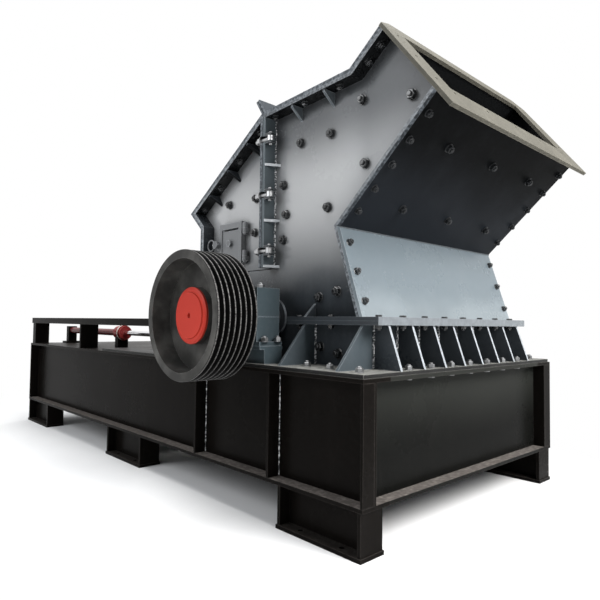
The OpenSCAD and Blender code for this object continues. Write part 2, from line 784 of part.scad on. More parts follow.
anchor_t = 60;
anchor_half = 45;
anchor_foot = 30;
anchor_foot_t = 20;
saddle_half = 50;

// Rear anchors of the cylinders and saddles under their heads
module cylinder_brackets() color([0.14, 0.13, 0.13]) place() both() translate([0, -cylinder_y, 0]) {
    block([barrel_rear - anchor_t - anchor_foot, barrel_rear + anchor_foot],
        [-anchor_half - anchor_foot, anchor_half + anchor_foot], [z_deck, z_deck + anchor_foot_t]);
    block([barrel_rear - anchor_t, barrel_rear], [-anchor_half, anchor_half],
        [z_deck + anchor_foot_t, z_cyl + anchor_half]);
    difference() {
        block([head_x[0] + collar_t, head_x[1] - 2 * collar_t], [-saddle_half, saddle_half], [z_deck, z_cyl]);
        along_x([head_x[0], head_x[1]], 0, z_cyl, head_d);
    }
}

module rear_side_plates() color([0.25, 0.28, 0.31]) place() {
    for (m = [0, 1]) mirror([0, m, 0]) {
        difference() {
            upright(rear_in, [-y_side, -y_in]);
            block([ext_x - split_gap, split_x + cut], [-y_side - cut, -y_in + cut], [z_rear - cut, split_foot_z]);
            if (m == 0) block(door_hole_x, [-y_side - cut, -y_in + cut], door_hole_z);
        }
        for (i = [1, 2, 3]) upright(band(rear_in, rear_strip, i), [-y_plate, -y_side]);
        block([rear_strip[1][0], ext_x - split_gap], [-y_plate, -y_side], [z_rear, z_rear + edge_strip_t]);
    }
}

module rear_wall() color([0.25, 0.28, 0.31]) place() cover(rear_out, rear_in, 1);

module rear_return() color([0.25, 0.28, 0.31]) place() cover(rear_out, rear_in, 2);

module rear_roof() color([0.25, 0.28, 0.31]) place() {
    cover(rear_out, rear_in, 3);
    upstand([rear_x, roof_z], -rear_slope);
}

module rear_split_flange() color([0.3, 0.33, 0.36]) place() both() difference() {
    upright([[rear_flange[0], split_foot_z], [rear_flange[1], split_foot_z],
        on_line(rear_strip[3], rear_strip[4], rear_flange[1]),
        on_line(rear_strip[3], rear_strip[4], rear_flange[0])], [-y_plate, -y_side]);
    clamp_slots(rear_flange);
}

rear_strip_length = norm(rear_strip[4] - rear_strip[3]);

module rear_gussets() color([0.25, 0.28, 0.31]) place() both() {
    for (k = [0 : 2])
        strip_gusset(rear_strip[3], rear_strip[4],
            rear_strip_length - rear_gusset_first - k * rear_gusset_pitch);
}

shoe_x = [rear_wall_x + strip_in, rear_wall_x + strip_in + shoe_length];
z_shoe = z_rear + edge_strip_t;
shoe_t = 20;
shoe_in = 6;
shoe_rib_h = 170;
shoe_rib_in = 30;
lug_plate_t = 24;
lug_spread = 50;
lug_root_h = 220;
lug_reach = 190;
lug_width = 110;
lug_x = [rear_wall_x - lug_reach, rear_wall_x - lug_reach + lug_width];
rod_eye = 38;
lug_drop = 22;

module slide_shoes() color([0.25, 0.28, 0.31]) place() both() {
    block(shoe_x, [-y_edge + shoe_in, -y_side], [z_shoe, z_shoe + shoe_t]);
    block(shoe_x, [-y_edge + shoe_in, guide_y[1] - shoe_in], [z_guide + shoe_clear, z_shoe]);
    for (x = [shoe_x[0] + shoe_rib_in, shoe_x[1] - shoe_rib_in - rib_t])
        crosswise(x, rib_t, [[-y_side, z_shoe + shoe_t], [-y_side, z_shoe + shoe_t + shoe_rib_h],
            [-y_edge + 3 * shoe_in, z_shoe + 2 * shoe_t], [-y_edge + 3 * shoe_in, z_shoe + shoe_t]]);
    for (m = [-1, 1]) translate([0, -cylinder_y + m * lug_spread, 0])
        upright([[rear_wall_x, z_shoe + lug_root_h], [rear_wall_x, z_shoe], [lug_x[1], z_shoe - shoe_t],
            [lug_x[1], z_cyl - rod_eye - lug_drop], [lug_x[0], z_cyl - rod_eye - lug_drop], [lug_x[0], z_shoe]],
            [-lug_plate_t / 2, lug_plate_t / 2]);
}

rod_inside = 60;
rod_neck = 20;

module piston_rods() color([0.8, 0.8, 0.82]) place() both() {
    along_x([head_x[0] - rod_inside, lug_x[0] - rod_neck], -cylinder_y, z_cyl, rod_d);
    block([lug_x[0] - rod_neck, lug_x[1]], [-cylinder_y - rod_eye, -cylinder_y + rod_eye],
        [z_cyl - rod_eye, z_cyl + rod_eye]);
}

door_free = rear_wall_x + strip_in + latch_room;
door_x = [door_free, door_free + door_width];
door_hinge_x = door_x[1] + knuckle_d / 2 + door_gap;
door_zz = [door_z, door_z + door_height];
door_mid_z = door_z + door_height / 2;
door_hole_x = [door_x[0] + door_frame_w, door_x[1] - door_frame_w];
door_hole_z = [door_zz[0] + door_frame_w, door_zz[1] - door_frame_w];
door_y = -y_side - door_frame_t - door_gap - door_t;
hinge_y = door_y + door_t / 2;
knuckle_h = 34;
knuckle_gap = 1;
hinge_in = 14;
pin_clear = 0.2;
pin_head = 10;
hinge_places = [door_zz[0] + hinge_in, door_zz[1] - hinge_in - 2 * knuckle_h - knuckle_gap];

module door_frame() color([0.25, 0.28, 0.31]) place() {
    difference() {
        block(door_x, [-y_side - door_frame_t, -y_side], door_zz);
        block(door_hole_x, [-y_side - door_frame_t - cut, -y_side + cut], door_hole_z);
    }
    for (z = hinge_places) translate([door_hinge_x, 0, z]) {
        difference() {
            union() {
                translate([0, hinge_y, 0]) cylinder(h = knuckle_h, d = knuckle_d);
                block([-hinge_pin_d / 2, hinge_pin_d / 2], [hinge_y, -y_side], [0, knuckle_h]);
            }
            translate([0, hinge_y, -cut]) cylinder(h = knuckle_h + 2 * cut, d = hinge_pin_d + 2 * pin_clear);
        }
        translate([0, hinge_y, -pin_head / 2]) cylinder(h = 2 * knuckle_h + pin_head, d = hinge_pin_d);
        translate([0, hinge_y, -pin_head]) cylinder(h = pin_head, d = hinge_pin_d + pin_head);
    }
}

rim_w = 26;
top_bar = 40;
door_rim_t = 8;
grip_length = 160;
grip_h = 12;

module door() color([0.25, 0.28, 0.31]) place() {
    difference() {
        union() {
            block(door_x, [door_y, door_y + door_t], door_zz);
            difference() {
                block(door_x, [door_y - door_rim_t, door_y], door_zz);
                block([door_x[0] + rim_w, door_x[1] - rim_w], [door_y - door_rim_t - cut, door_y],
                    [door_zz[0] + rim_w, door_zz[1] - top_bar]);
            }
        }
        block([door_x[0] + door_width / 2 - grip_length / 2, door_x[0] + door_width / 2 + grip_length / 2],
            [door_y - cut, door_y + door_t + cut], [door_zz[1] - top_bar - grip_h, door_zz[1] - top_bar]);
    }
    for (z = hinge_places) translate([0, 0, z + knuckle_h + knuckle_gap]) difference() {
        union() {
            translate([door_hinge_x, hinge_y, 0]) cylinder(h = knuckle_h, d = knuckle_d);
            block([door_x[1] - rim_w, door_hinge_x], [door_y, door_y + door_t], [0, knuckle_h]);
        }
        translate([door_hinge_x, hinge_y, -cut]) cylinder(h = knuckle_h + 2 * cut, d = hinge_pin_d + 2 * pin_clear);
    }
}

knob_d = 46;
knob_h = 24;
boss_d = 56;
boss_h = 34;
tab_half = 30;
ring_r = 38;
ring_wire = 10;
latch_out = 10;
neck_clear = 1;
latch_x = door_x[0] - latch_out;
latch_y = door_y - door_rim_t - boss_h;

// Knob in the middle of the door, and a clamping boss with a pull ring at its free edge
module door_latch() color([0.35, 0.36, 0.38]) place() {
    along_y(door_x[0] + door_width / 2, door_mid_z, [door_y - knob_h, door_y], knob_d);
    block([latch_x - tab_half, door_x[0]], [door_y, door_y + door_t], [door_mid_z - tab_half, door_mid_z + tab_half]);
    along_y(latch_x, door_mid_z, [latch_y, door_y], 2 * (latch_out - neck_clear));
    translate([latch_x, door_y - door_rim_t, door_mid_z]) rotate([90, 0, 0]) cylinder(h = boss_h, d = boss_d, $fn = 6);
    translate([latch_x - boss_d / 2 - ring_r + ring_wire, latch_y + ring_wire, door_mid_z]) rotate([90, 0, 0])
        rotate_extrude() translate([ring_r, 0]) circle(d = ring_wire);
}

rotor_end = rotor_length / 2;
shaft_back = 6;
cap_y = [pulley_front + cap_recess, pulley_front + cap_recess + cap_t];

module shaft() color([0.5, 0.5, 0.5]) place() {
    along_y(shaft_x, z_shaft, [cap_y[1], -bearing_face[0] - shaft_back], shaft_d);
    along_y(shaft_x, z_shaft, [-rotor_end, rotor_end], core_d);
}

groove_pitch = (pulley_w - groove_land * 2.2) / grooves;
rim_profile = [
    for (i = [0 : grooves - 1]) let (a = groove_land * 1.1 + i * groove_pitch)
        for (p = [[0, groove_land / 2], [groove_depth, groove_pitch * 0.38], [groove_depth, groove_pitch * 0.62],
            [0, groove_pitch - groove_land / 2]])
            [pulley_d / 2 - p[0], a + p[1]]
];
web_y = pulley_w * 0.55;
rim_chamfer = 3;
rim_draft = 8;
hub_step = 4;
hub_foot = 20;

module pulley() color([0.06, 0.06, 0.06]) place() translate([shaft_x, pulley_rear, z_shaft])
    rotate([90, 0, 0]) rotate_extrude() polygon(concat(
        [[pulley_d / 2 - rim_chamfer, 0], [pulley_d / 2, rim_chamfer]], rim_profile,
        [[pulley_d / 2, pulley_w - rim_chamfer], [pulley_d / 2 - rim_chamfer, pulley_w],
        [pulley_d / 2 - rim_t, pulley_w], [pulley_d / 2 - rim_t - rim_draft, web_y], [hub_d / 2, web_y],
        [hub_d / 2 - hub_step, pulley_w - cap_recess - cap_t],
        [shaft_d / 2 + shaft_clear, pulley_w - cap_recess - cap_t], [shaft_d / 2 + shaft_clear, hub_foot / 2],
        [hub_d / 2 - hub_foot, hub_foot / 2], [hub_d / 2, web_y - pulley_web_t],
        [pulley_d / 2 - rim_t - rim_draft, web_y - pulley_web_t], [pulley_d / 2 - rim_t, 0]]));

cap_r = hub_d / 2 - hub_step;
dimple_r = 12;

module hub_cap() color([0.8, 0.2, 0.15]) place() translate([shaft_x, cap_y[1], z_shaft]) rotate([90, 0, 0])
    rotate_extrude() polygon([[0, 0], [cap_r, 0], [cap_r, cap_t / 2], [cap_r * 0.92, cap_t * 0.75],
        [cap_r * 0.82, cap_t * 0.75], [cap_r * 0.8, cap_t], [dimple_r * 1.2, cap_t], [dimple_r, cap_t / 2],
        [0, cap_t / 2]]);

disc_step = (rotor_length - disc_t) / (discs - 1);
row_start = 45;

// Angle of a hammer row around the shaft
function row_turn(k) = row_start + k * 360 / hammer_rows;

module pin_at(k, y, d) {
    along_y(shaft_x + pin_ring * cos(row_turn(k)), z_shaft + pin_ring * sin(row_turn(k)), y, d);
}

module rotor_discs() color([0.3, 0.28, 0.26]) place()
    for (i = [0 : discs - 1]) let (y = -rotor_end + i * disc_step) difference() {
        along_y(shaft_x, z_shaft, [y, y + disc_t], disc_d);
        along_y(shaft_x, z_shaft, [y - cut, y + disc_t + cut], core_d + 2 * shaft_clear);
        for (k = [0 : hammer_rows - 1]) pin_at(k, [y - cut, y + disc_t + cut], pin_d + 2 * shaft_clear);
    }

module hammer_pins() color([0.45, 0.43, 0.4]) place()
    for (k = [0 : hammer_rows - 1]) pin_at(k, [-rotor_end, rotor_end], pin_d);

hammer_eye = 120;
hammer_neck = 20;
hammer_room = (disc_step - disc_t - hammer_t) / 2;

module hammers() color([0.38, 0.35, 0.33]) place()
    for (i = [0 : discs - 2]) for (k = [0 : hammer_rows - 1])
        translate([shaft_x, -rotor_end + disc_t + i * disc_step + hammer_room, z_shaft])
            rotate([0, -row_turn(k), 0]) difference() {
                upright([[pin_ring - hammer_eye / 2, -hammer_eye / 2], [pin_ring + hammer_eye / 2, -hammer_eye / 2],
                    [pin_ring + hammer_eye / 2 + hammer_neck, -hammer_w / 2], [hammer_reach, -hammer_w / 2],
                    [hammer_reach, hammer_w / 2], [pin_ring + hammer_eye / 2 + hammer_neck, hammer_w / 2],
                    [pin_ring + hammer_eye / 2, hammer_eye / 2], [pin_ring - hammer_eye / 2, hammer_eye / 2]],
                    [0, hammer_t]);
                along_y(pin_ring, 0, [-cut, hammer_t + cut], pin_d + 2 * shaft_clear);
            }

base_beams();
base_end_walls();
base_stiffeners();
cross_members();
deck_plate();
legs();
leg_ends();
foot_plates();
body_flange();
skirt_walls();
skirt_ribs();
skirt_gussets();
skirt_ledge();
front_ledge();
front_side_plates();
front_wall();
chute_underside();
chute_back();
front_roof();
front_gussets();
feed_flange();
front_split_flange();
clamp_lugs();
swing_bolts();
seal_covers();
bearing_pedestals();
bearing_blocks();
guide_beams();
guide_posts();
cylinder_barrels();
cylinder_heads();
cylinder_brackets();
rear_side_plates();
rear_roof();
rear_wall();
rear_return();
rear_split_flange();
rear_gussets();
slide_shoes();
piston_rods();
clamp_nuts();
door_frame();
door();
door_latch();
shaft();
pulley();
hub_cap();
rotor_discs();
hammer_pins();
hammers();
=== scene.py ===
import json
import math

import bmesh
import bpy
from mathutils import Matrix, Vector


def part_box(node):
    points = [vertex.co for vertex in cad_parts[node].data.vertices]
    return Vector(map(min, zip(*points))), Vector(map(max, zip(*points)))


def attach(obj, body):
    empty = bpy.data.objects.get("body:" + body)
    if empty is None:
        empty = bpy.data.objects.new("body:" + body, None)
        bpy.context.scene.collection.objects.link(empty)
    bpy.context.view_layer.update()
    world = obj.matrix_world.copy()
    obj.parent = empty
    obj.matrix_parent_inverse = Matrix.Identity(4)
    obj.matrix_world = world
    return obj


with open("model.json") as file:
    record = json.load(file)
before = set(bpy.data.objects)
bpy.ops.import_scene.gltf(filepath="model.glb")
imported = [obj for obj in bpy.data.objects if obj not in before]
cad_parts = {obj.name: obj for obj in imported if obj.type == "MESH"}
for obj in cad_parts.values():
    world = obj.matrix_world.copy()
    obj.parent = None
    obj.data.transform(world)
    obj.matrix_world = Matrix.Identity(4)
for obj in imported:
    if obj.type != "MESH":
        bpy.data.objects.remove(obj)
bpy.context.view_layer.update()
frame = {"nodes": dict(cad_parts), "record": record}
nodes = frame["nodes"]

# Places are in the drawing's millimetres: X from the feed end, Y from the middle plane, Z from the floor
base_low, base_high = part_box("base_beams")
FEED_END_X = base_high[0]
MIDDLE_Y = (base_low[1] + base_high[1]) / 2


def placed(x, y, z):
    """A place given in the drawing's millimetres, in metres of the frame."""
    return Vector((x / 1000 + FEED_END_X, y / 1000 + MIDDLE_Y, z / 1000))


def drawn(place):
    """A place of the frame, in the drawing's millimetres."""
    return Vector((place[0] - FEED_END_X, place[1] - MIDDLE_Y, place[2])) * 1000


def low(node):
    """A node's lowest corner, in the drawing's millimetres."""
    return drawn(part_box(node)[0])


def high(node):
    """A node's highest corner, in the drawing's millimetres."""
    return drawn(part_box(node)[1])


# Outer faces of the side plates, ends of the cover plates on them, and the middle of the strips between
SIDE_Y = high("skirt_walls").y
PLATE_Y = high("front_wall").y
STRIP_Y = (SIDE_Y + PLATE_Y) / 2


# Shader sums


class Val:
    """A shader value that can be used in sums."""

    def __init__(self, nodes_of, socket):
        self.nodes_of = nodes_of
        self.socket = socket

    def _math(self, operation, first, second):
        return self.nodes_of.node("ShaderNodeMath", {"operation": operation}, {0: first, 1: second})

    def __add__(self, other):
        return self._math("ADD", self, other)

    __radd__ = __add__

    def __sub__(self, other):
        return self._math("SUBTRACT", self, other)

    def __rsub__(self, other):
        return self._math("SUBTRACT", other, self)

    def __mul__(self, other):
        return self._math("MULTIPLY", self, other)

    __rmul__ = __mul__

    def larger(self, other):
        return self._math("MAXIMUM", self, other)

    def ramp(self, start, end):
        """0 before start, 1 past end, smooth between; it falls where start is the higher."""
        return self.nodes_of.node("ShaderNodeMapRange", {"interpolation_type": "SMOOTHSTEP"},
                                  {"Value": self, "From Min": start, "From Max": end})

    def clip(self):
        return self.nodes_of.node("ShaderNodeClamp", {}, {"Value": self})


class Nodes:
    """A node tree that is built up from sums and noise."""

    def __init__(self, tree):
        self.tree = tree

    def node(self, kind, settings, sockets, output=0):
        made = self.tree.nodes.new(kind)
        for key, value in settings.items():
            setattr(made, key, value)
        for key, value in sockets.items():
            self.plug(value, made.inputs[key])
        return Val(self, made.outputs[output])

    def plug(self, value, socket):
        if isinstance(value, Val):
            self.tree.links.new(value.socket, socket)
        else:
            socket.default_value = value

    def background_rays(self):
        """1 for the rays that should see a white background."""
        camera, glossy, clear = [self.node("ShaderNodeLightPath", {}, {}, ray)
                                 for ray in ("Is Camera Ray", "Is Glossy Ray", "Is Transmission Ray")]
        return (camera + glossy + clear).clip()


class Finish(Nodes):
    """One procedural material on a principled shader."""

    def __init__(self, name):
        self.material = bpy.data.materials.new(name)
        self.material.use_nodes = True
        super().__init__(self.material.node_tree)
        self.shader = self.tree.nodes["Principled BSDF"]

    def feed(self, socket, value):
        self.plug(value, self.shader.inputs[socket])

    def place(self):
        return self.node("ShaderNodeTexCoord", {}, {}, "Object")

    def along(self, axis):
        return self.node("ShaderNodeSeparateXYZ", {}, {0: self.place()}, axis)

    def normal(self):
        return self.node("ShaderNodeNewGeometry", {}, {}, "Normal")

    def facing(self, axis):
        return self.node("ShaderNodeSeparateXYZ", {}, {0: self.normal()}, axis)

    def vector(self, operation, first, second=(0.0, 0.0, 0.0), output=0):
        return self.node("ShaderNodeVectorMath", {"operation": operation}, {0: first, 1: second}, output)

    def length(self, vector):
        return self.vector("LENGTH", vector, output="Value")

    def noise(self, scale, detail=3.0, rough=0.55, at=None):
        return self.node("ShaderNodeTexNoise", {}, {"Vector": at or self.place(), "Scale": scale,
                                                   "Detail": detail, "Roughness": rough})

    def blend(self, share, first, second):
        return self.node("ShaderNodeMix", {"data_type": "RGBA"}, {0: share, 6: first, 7: second}, 2)

    def edges(self, radius):
        """1 on sharp edges, 0 on flats."""
        rounded = self.node("ShaderNodeBevel", {"samples": 4}, {"Radius": radius})
        return 1.0 - self.vector("DOT_PRODUCT", rounded, self.normal(), "Value")

    def bump(self, height, strength, distance):
        return self.node("ShaderNodeBump", {},
                         {"Height": height, "Strength": strength, "Distance": distance})


def rgb(colour, gain=1.0):
    """A colour with its fourth channel, brightened by a gain."""
    return (*(min(1.0, channel * gain) for channel in colour), 1.0)


# Paints

# Places that the paint steps use, in metres of the frame
SIDE_FACE, COVER_END = SIDE_Y / 1000, PLATE_Y / 1000
# Heights and lengths of the painted sky reflection on the side plates, and where its coat fades
MIRROR_RISE, MIRROR_FALL = (1.2, 1.8), (1.85, 2.28)
MIRROR_SLACK, COAT_FALL = (1.3, 2.1), (1.7, 1.95)
MIRROR_END = COVER_END + 0.03
PAST_FEED_END, UNDER_FLOOR = 9.0, -1.0
RING_EDGE = 0.003

# Dark of the painted shade in the corners, under the overhangs and inside the housing
PAINTED_SHADE_DARK = (0.006, 0.0065, 0.007)
# Gain of the pale on worn edges and of the painted highlights
WEAR_AND_HIGHLIGHT_GAIN = 2.4


class Paint(Finish):
    """Sprayed paint on rolled plate; each step lays one more thing over the tone so far, and some steps
    lay painted light and shade.
    """

    def __init__(self, name, colour, pale, rough, shine):
        super().__init__(name)
        self.pale = pale
        self.rough = rough
        self.cloud = self.noise(1.6, detail=4.0).ramp(0.35, 0.7)
        self.fine = self.noise(38.0).ramp(0.4, 0.75)
        self.tone = self.blend(0.5 * self.cloud, rgb(colour), rgb(colour, 0.72))
        self.feed("Specular IOR Level", shine)
        self.feed("Normal", self.bump(self.noise(160.0, detail=2.0), 0.08, 0.002))

    def lay(self, share, colour, gain=1.0):
        """Covers a share of the tone so far with a colour."""
        self.tone = self.blend(share, self.tone, rgb(colour, gain))
        return self

    def painted_height_shading(self, start, end, colour):
        """Painted light and shade: turns to another tone with height, between a start and an end."""
        return self.lay((self.along("Z") + 0.06 * self.cloud).ramp(start, end), colour)

    def ringed(self, start, end, colour):
        """A ring of another colour along the machine."""
        length = self.along("X")
        return self.lay(length.ramp(start, start + RING_EDGE) * length.ramp(end + RING_EDGE, end), colour)

    def streaked(self, amount):
        """Rain streaks and fine dust on every face."""
        tall = self.vector("MULTIPLY", self.place(), (9.0, 9.0, 0.9))
        streak = self.noise(1.0, 4.0, 0.6, tall).ramp(0.45, 0.8)
        self.rough = self.rough + 0.2 * amount * self.fine
        return self.lay((0.6 * streak + 0.4 * self.fine) * amount, self.pale)

    def dusted(self, amount, gain=1.5, axis="Z", start=UNDER_FLOOR, end=0.0):
        """Dust settled on the faces that look up, past a place along one axis."""
        film = self.facing("Z").ramp(0.5, 0.95) * (0.4 + 0.6 * self.fine)
        film = film * self.along(axis).ramp(start, end) * amount
        self.rough = self.rough + 0.4 * film
        return self.lay(film, self.pale, gain)

    def painted_sky_reflection(self, colour):
        """Painted reflection of the pale sky on the broad side plates, strongest half way up; the coat
        adds real gloss over it.
        """
        height = self.along("Z")
        length = self.along("X")
        rise = height.ramp(*MIRROR_RISE) * (1.0 - 0.84 * height.ramp(*MIRROR_FALL))
        across = self.along("Y") - MIDDLE_Y
        plate = (across * across).ramp(MIRROR_END ** 2, SIDE_FACE ** 2)
        broad = (self.facing("Y") * self.facing("Y")).ramp(0.5, 0.9) * plate
        light = rise * broad * (1.0 - 0.15 * length.ramp(*MIRROR_SLACK)) * (0.9 + 0.1 * self.cloud)
        self.feed("Coat Weight", light * (1.0 - 0.95 * length.ramp(*COAT_FALL)))
        self.feed("Coat IOR", 1.9)
        self.feed("Coat Roughness", 0.16)
        return self.lay(light, colour)

    def painted_corner_shade(self, reach, amount):
        """Painted shade, darker in the corners where plates meet and under the strips."""
        clear = self.node("ShaderNodeAmbientOcclusion", {"samples": 8}, {"Distance": reach}, "AO")
        return self.lay(clear.ramp(0.95, 0.55) * amount, PAINTED_SHADE_DARK)

    def worn(self, amount, radius=0.006):
        """Edges worn bright in specks."""
        speck = self.noise(210.0, detail=2.0).ramp(0.55, 0.72)
        edge = self.edges(radius).ramp(0.02, 0.16)
        return self.lay(edge * (0.35 + 0.65 * speck) * amount, self.pale, WEAR_AND_HIGHLIGHT_GAIN)

    def outward(self):
        """How far out a face is that looks away from the middle plane; below 0 where it looks in."""
        return (self.along("Y") - MIDDLE_Y) * self.facing("Y")

    def edged(self, amount):
        """Pale specks on the outward faces at the ends of the cover plates and of the strips that carry
        them.
        """
        ends = self.outward().ramp(COVER_END - 0.006, COVER_END - 0.002)
        speck = self.noise(60.0).ramp(0.42, 0.62)
        return self.lay(ends * (0.25 + 0.75 * speck) * amount, self.pale, WEAR_AND_HIGHLIGHT_GAIN)

    def painted_lit_faces(self, end=PAST_FEED_END):
        """Painted highlight on the narrow faces that look towards the feed end, as far as a place along
        the machine.
        """
        faces = self.facing("X").ramp(0.55, 0.85) * self.along("X").ramp(end + 0.03, end)
        return self.lay(faces * (0.7 + 0.3 * self.fine), self.pale, WEAR_AND_HIGHLIGHT_GAIN)

    def painted_inner_shade(self):
        """Painted shade on the faces inside the housing and under its overhangs."""
        inner = self.outward().ramp(-0.1, -0.3)
        return self.lay(inner.larger(self.facing("Z").ramp(-0.3, -0.5)), PAINTED_SHADE_DARK)

    def done(self):
        """Feeds the shader with what the steps have laid."""
        self.feed("Base Color", self.tone)
        self.feed("Roughness", (self.rough + 0.08 * self.cloud).clip())
        return self.material


SLATE, SLATE_DUST = (0.030, 0.035, 0.040), (0.12, 0.13, 0.14)
BLACK, BLACK_DUST = (0.0045, 0.0038, 0.0033), (0.040, 0.036, 0.033)
BOLT_BLACK = (0.010, 0.011, 0.012)
GREY_DUST, DARK_DUST = (0.14, 0.15, 0.16), (0.04, 0.045, 0.05)
# Grey of the painted sky reflection on the side plates
PAINTED_SKY_REFLECTION = (0.39, 0.396, 0.40)
COLLAR, COLLAR_LENGTH = (0.55, 0.50, 0.46), 0.023
COLLAR_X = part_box("cylinder_brackets")[1][0]
LOW_FLANGE_Z, WEB_Z = 0.3, 0.4

# Housing plates with painted shade inside the housing and under its overhangs
housing_paint = (Paint("housing_paint", SLATE, SLATE_DUST, rough=0.6, shine=0.05)
                 .streaked(0.15).dusted(0.35).edged(0.5).worn(0.8).painted_inner_shade().done())
# Side plates with a painted sky reflection, painted shade in the corners and under the strips, and painted
# shade inside the housing
side_paint = (Paint("side_paint", SLATE, SLATE_DUST, rough=0.22, shine=0.2)
              .streaked(0.1).painted_sky_reflection(PAINTED_SKY_REFLECTION).painted_corner_shade(reach=0.16, amount=0.5)
              .edged(0.5).worn(0.9).painted_inner_shade().done())
# Rear side plates with a painted sky reflection, painted shade in the corners and under the strips, and
# painted shade inside the housing
rear_side_paint = (Paint("rear_side_paint", SLATE, SLATE_DUST, rough=0.22, shine=0.2)
                   .streaked(0.1).painted_sky_reflection(PAINTED_SKY_REFLECTION).painted_corner_shade(reach=0.1, amount=0.45)
                   .edged(0.7).worn(0.9).painted_inner_shade().done())
# A lighter copy of the housing paint: painted light that matches the painted reflection on the side plates
door_paint = (Paint("door_paint", (0.17, 0.175, 0.18), (0.22, 0.225, 0.23), rough=0.28, shine=0.25)
              .streaked(0.2).worn(1.0).done())
# Ribs with a painted highlight on the faces towards the feed end
rib_paint = (Paint("rib_paint", SLATE, GREY_DUST, rough=0.26, shine=0.2)
             .streaked(0.12).worn(1.0).painted_lit_faces().done())
# A lighter copy of the housing paint: painted light, with a painted highlight on the faces towards the
# feed end
gusset_paint = (Paint("gusset_paint", (0.085, 0.100, 0.110), (0.26, 0.27, 0.28), rough=0.3, shine=0.2)
                .streaked(0.12).worn(1.0).painted_lit_faces(end=1.25).done())
# A lighter copy of the housing paint: painted light
side_gusset_paint = (Paint("side_gusset_paint", (0.048, 0.060, 0.068), GREY_DUST, rough=0.28, shine=0.2)
                     .streaked(0.12).worn(1.0).done())
# Ledges with a painted highlight on the faces towards the feed end
ledge_paint = (Paint("ledge_paint", SLATE, (0.064, 0.070, 0.075), rough=0.28, shine=0.2)
               .streaked(0.12).dusted(0.4).worn(0.8).painted_lit_faces().done())
# A much lighter copy of the housing paint, darker with height: painted light on the front wall, brightest
# low down
wall_paint = (Paint("wall_paint", (0.190, 0.220, 0.236), (0.22, 0.23, 0.24), rough=0.24, shine=0.3)
              .painted_height_shading(start=1.11, end=1.33, colour=(0.104, 0.127, 0.142))
              .streaked(0.08).worn(0.8).done())
# A lighter copy of the housing paint: painted light on the bearing blocks and pedestals
bearing_paint = (Paint("bearing_paint", (0.042, 0.058, 0.066), GREY_DUST, rough=0.3, shine=0.2)
                 .streaked(0.15).dusted(0.3).worn(1.0).done())
# A lighter copy of the housing paint: painted light on the parting flange
parting_paint = (Paint("parting_paint", (0.080, 0.098, 0.108), (0.16, 0.17, 0.18), rough=0.28, shine=0.2)
                 .streaked(0.12).worn(1.0).done())
# A darker copy of the housing paint, darker still towards the lip: painted shade under the chute
underside_paint = (Paint("underside_paint", (0.010, 0.012, 0.015), DARK_DUST, rough=0.4, shine=0.03)
                   .painted_height_shading(start=1.7, end=2.1, colour=(0.0015, 0.0018, 0.002))
                   .streaked(0.08).edged(1.0).worn(0.5).done())
base_paint = (Paint("base_paint", BLACK, BLACK_DUST, rough=0.24, shine=0.02)
              .streaked(0.07).dusted(0.45).worn(0.5).done())
beam_paint = (Paint("beam_paint", BLACK, BLACK_DUST, rough=0.24, shine=0.02)
              .streaked(0.07).dusted(0.45)
              .dusted(0.8, gain=5.5, start=WEB_Z, end=LOW_FLANGE_Z).worn(0.5).done())
# Lighter towards the top: a painted highlight on the end walls of the base; the pale low down is dust
end_wall_paint = (Paint("end_wall_paint", (0.0042, 0.0044, 0.0040), BLACK_DUST, rough=0.24, shine=0.025)
                  .painted_height_shading(start=0.45, end=0.8, colour=(0.0155, 0.0165, 0.0148)).streaked(0.07)
                  .dusted(0.9, gain=6.0, start=WEB_Z, end=LOW_FLANGE_Z).worn(0.5).done())
dusty_paint = (Paint("dusty_paint", (0.012, 0.012, 0.012), (0.15, 0.15, 0.14), rough=0.4, shine=0.1)
               .streaked(0.1).dusted(0.8, gain=2.2, axis="X", start=1.0, end=1.2).worn(0.9).done())
flange_paint = (Paint("flange_paint", (0.072, 0.068, 0.054), (0.15, 0.14, 0.115), rough=0.5, shine=0.15)
                .streaked(0.5).worn(0.5).done())
cap_red = (Paint("cap_red", (0.43, 0.028, 0.015), (0.40, 0.09, 0.06), rough=0.4, shine=0.15)
           .streaked(0.08).worn(0.2).done())
cylinder_red = (Paint("cylinder_red", (0.10, 0.011, 0.012), (0.22, 0.07, 0.06), rough=0.3, shine=0.25)
                .streaked(0.15).worn(0.3).done())
head_red = (Paint("head_red", (0.22, 0.020, 0.020), (0.40, 0.14, 0.12), rough=0.32, shine=0.25)
            .ringed(start=COLLAR_X, end=COLLAR_X + COLLAR_LENGTH, colour=COLLAR)
            .streaked(0.2).worn(0.6).done())
bolt_paint = (Paint("bolt_paint", BOLT_BLACK, (0.14, 0.145, 0.15), rough=0.12, shine=0.65)
              .streaked(0.05).dusted(0.15).worn(1.0, radius=0.002).done())
chute_bolt_paint = (Paint("chute_bolt_paint", BOLT_BLACK, (0.05, 0.053, 0.056), rough=0.3, shine=0.2)
                    .streaked(0.15).worn(0.4).done())
lug_paint = (Paint("lug_paint", (0.022, 0.025, 0.028), (0.20, 0.21, 0.22), rough=0.3, shine=0.3)
             .streaked(0.2).worn(1.0).done())
latch_paint = (Paint("latch_paint", (0.10, 0.105, 0.11), (0.36, 0.37, 0.38), rough=0.3, shine=0.35)
               .streaked(0.5).worn(1.0).done())
seam_paint = (Paint("seam_paint", (0.05, 0.058, 0.064), SLATE_DUST, rough=0.3, shine=0.2)
              .streaked(0.1).worn(0.6).done())


# Bare metals and the pulley


